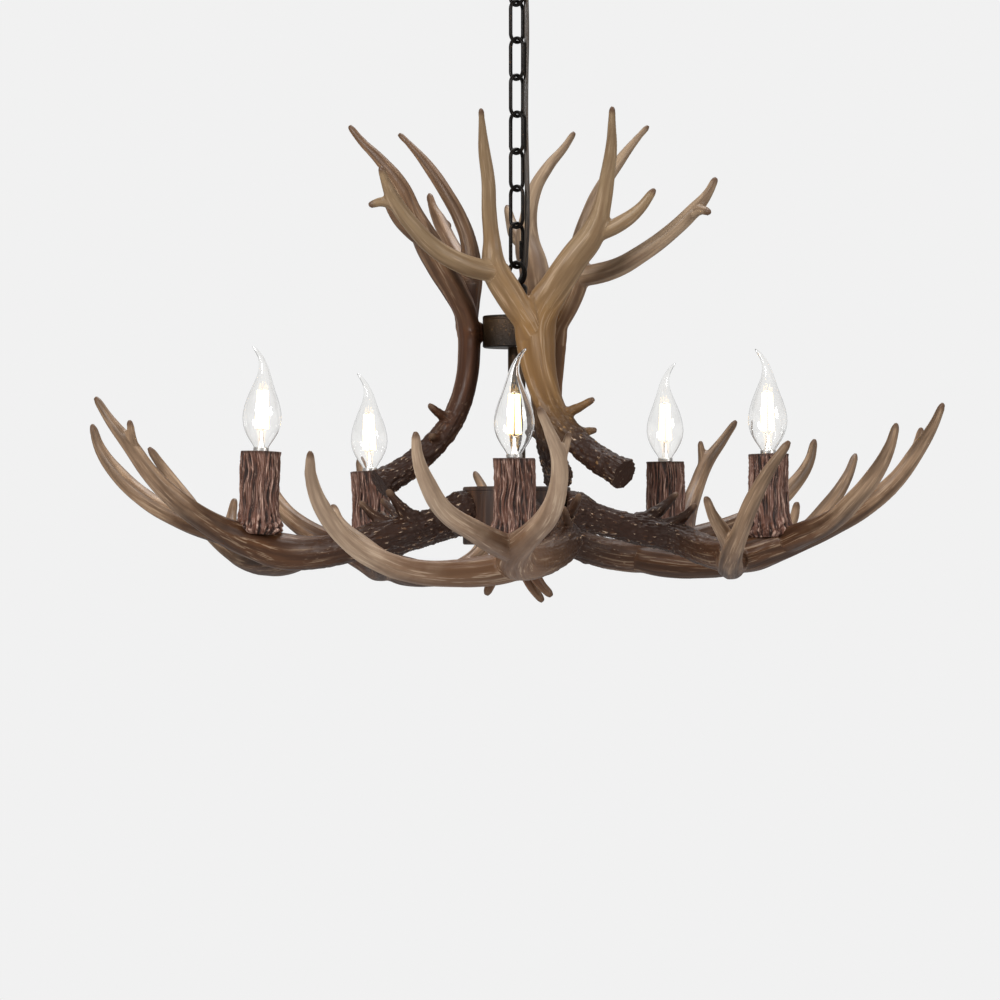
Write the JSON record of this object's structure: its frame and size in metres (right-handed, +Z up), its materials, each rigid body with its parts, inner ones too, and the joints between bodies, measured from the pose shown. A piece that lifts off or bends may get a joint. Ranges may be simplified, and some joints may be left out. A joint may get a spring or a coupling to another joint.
{
  "type": "antler chandelier",
  "caption": "Hanging light: cast antlers carry flame-tip candle bulbs round a drum hub, under a crown of antlers on a column, chain and ceiling canopy.",
  "frame": {"origin": "centre of the ceiling crossbar's top face, on the ceiling", "axes": "+Z up along the hanging chain; -Y faces the picture's viewpoint, +X to its right"},
  "size_m": [0.7639, 0.7559, 0.6335],
  "materials": {
    "antler": "satin cast resin, brown with pale tips' undertone",
    "bark": "rough cast bark",
    "hub_wood": "dark brown, upright grain",
    "hub_iron": "pitted dark bronze",
    "bronze": "dark bronze, worn to gold at the edges",
    "lampholder": "black",
    "glass": "clear",
    "bulb_metal": "plain",
    "filament": "glowing warm",
    "cord": "brown clear-coated",
    "bare_wire": "bare copper"
  },
  "bodies": {
    "ceiling_fitting": {"crossbar": "bronze", "canopy_nipple": "bronze", "nipple_nut": "bronze", "canopy": "bronze", "loop_collar": "bronze", "canopy_loop": "bronze", "supply_cord": "cord", "earth_wire": "bare_wire"},
    "link_1": {"chain_link_1": "bronze"},
    "link_2": {"chain_link_2": "bronze"},
    "link_3": {"chain_link_3": "bronze"},
    "link_4": {"chain_link_4": "bronze"},
    "link_5": {"chain_link_5": "bronze"},
    "link_6": {"chain_link_6": "bronze"},
    "link_7": {"chain_link_7": "bronze"},
    "quick_link": {"quick_link": "bronze"},
    "quick_link_barrel": {"quick_link_barrel": "bronze"},
    "fixture": {"column_loop": "bronze", "column_tube": "bronze", "upper_hub": "hub_iron", "upper_hub_lid": "hub_iron", "lower_hub": "hub_wood", "lower_hub_lid": "hub_wood", "underside_finial": "antler", "antler_screws": "bronze", "socket_pipes": "bronze", "arm_antler_1": "antler", "arm_antler_2": "antler", "arm_antler_3": "antler", "arm_antler_4": "antler", "arm_antler_5": "antler", "crown_antler_1": "antler", "crown_antler_2": "antler", "crown_antler_3": "antler", "candle_sleeve_1": "bark", "candle_sleeve_2": "bark", "candle_sleeve_3": "bark", "candle_sleeve_4": "bark", "candle_sleeve_5": "bark", "lamp_socket_1": "lampholder", "lamp_socket_2": "lampholder", "lamp_socket_3": "lampholder", "lamp_socket_4": "lampholder", "lamp_socket_5": "lampholder"},
    "bulb_1": {"bulb_glass_1": "glass", "bulb_base_1": "bulb_metal", "bulb_filaments_1": "filament"},
    "bulb_2": {"bulb_glass_2": "glass", "bulb_base_2": "bulb_metal", "bulb_filaments_2": "filament"},
    "bulb_3": {"bulb_glass_3": "glass", "bulb_base_3": "bulb_metal", "bulb_filaments_3": "filament"},
    "bulb_4": {"bulb_glass_4": "glass", "bulb_base_4": "bulb_metal", "bulb_filaments_4": "filament"},
    "bulb_5": {"bulb_glass_5": "glass", "bulb_base_5": "bulb_metal", "bulb_filaments_5": "filament"}
  },
  "joints": [
    {"name": "canopy_loop_swing", "type": "hinge", "parent": "ceiling_fitting", "child": "link_1", "pos_m": [0, 0, -0.05912], "axis": [0.7071, 0.7071, 0], "range_deg": [-12, 12], "deforming": ["supply_cord", "earth_wire"]},
    {"name": "link_1_swing", "type": "hinge", "parent": "link_1", "child": "link_2", "pos_m": [0, 0, -0.09232], "axis": [0.7071, -0.7071, 0], "range_deg": [-12, 12], "deforming": ["supply_cord", "earth_wire"]},
    {"name": "link_2_swing", "type": "hinge", "parent": "link_2", "child": "link_3", "pos_m": [0, 0, -0.12602], "axis": [0.7071, 0.7071, 0], "range_deg": [-12, 12], "deforming": ["supply_cord", "earth_wire"]},
    {"name": "link_3_swing", "type": "hinge", "parent": "link_3", "child": "link_4", "pos_m": [0, 0, -0.15972], "axis": [0.7071, -0.7071, 0], "range_deg": [-12, 12], "deforming": ["supply_cord", "earth_wire"]},
    {"name": "link_4_swing", "type": "hinge", "parent": "link_4", "child": "link_5", "pos_m": [0, 0, -0.19342], "axis": [0.7071, 0.7071, 0], "range_deg": [-12, 12], "deforming": ["supply_cord", "earth_wire"]},
    {"name": "link_5_swing", "type": "hinge", "parent": "link_5", "child": "link_6", "pos_m": [0, 0, -0.22712], "axis": [0.7071, -0.7071, 0], "range_deg": [-12, 12], "deforming": ["supply_cord", "earth_wire"]},
    {"name": "link_6_swing", "type": "hinge", "parent": "link_6", "child": "link_7", "pos_m": [0, 0, -0.26082], "axis": [0.7071, 0.7071, 0], "range_deg": [-12, 12], "deforming": ["supply_cord", "earth_wire"]},
    {"name": "link_7_swing", "type": "hinge", "parent": "link_7", "child": "quick_link", "pos_m": [0, 0, -0.29452], "axis": [0.7071, -0.7071, 0], "range_deg": [-12, 12], "deforming": ["supply_cord", "earth_wire"]},
    {"name": "column_loop_swing", "type": "hinge", "parent": "quick_link", "child": "fixture", "pos_m": [0, 0, -0.33092], "axis": [0.7071, 0.7071, 0], "range_deg": [-12, 12], "deforming": ["supply_cord", "earth_wire"]},
    {"name": "barrel_unscrew", "type": "slide", "parent": "quick_link", "child": "quick_link_barrel", "axis": [0, 0, 1], "range_m": [0, 0.007]},
    {"name": "bulb_1_unscrew", "type": "hinge", "parent": "fixture", "child": "bulb_1", "pos_m": [-0.00207, -0.24013, -0.51027], "axis": [0.0003, -0.0209, 0.9998], "range_deg": [-1080, 0]},
    {"name": "bulb_2_unscrew", "type": "hinge", "parent": "fixture", "child": "bulb_2", "pos_m": [0.2242, -0.08073, -0.5029], "axis": [-0.0165, 0.0056, 0.9998], "range_deg": [-1080, 0]},
    {"name": "bulb_3_unscrew", "type": "hinge", "parent": "fixture", "child": "bulb_3", "pos_m": [0.14182, 0.19164, -0.50356], "axis": [-0.0081, -0.0114, 0.9999], "range_deg": [-1080, 0]},
    {"name": "bulb_4_unscrew", "type": "hinge", "parent": "fixture", "child": "bulb_4", "pos_m": [-0.1403, 0.19589, -0.51297], "axis": [-0.0209, 0.0279, 0.9994], "range_deg": [-1080, 0]},
    {"name": "bulb_5_unscrew", "type": "hinge", "parent": "fixture", "child": "bulb_5", "pos_m": [-0.22882, -0.06473, -0.50023], "axis": [0.03, 0.0092, 0.9995], "range_deg": [-1080, 0]}
  ]
}
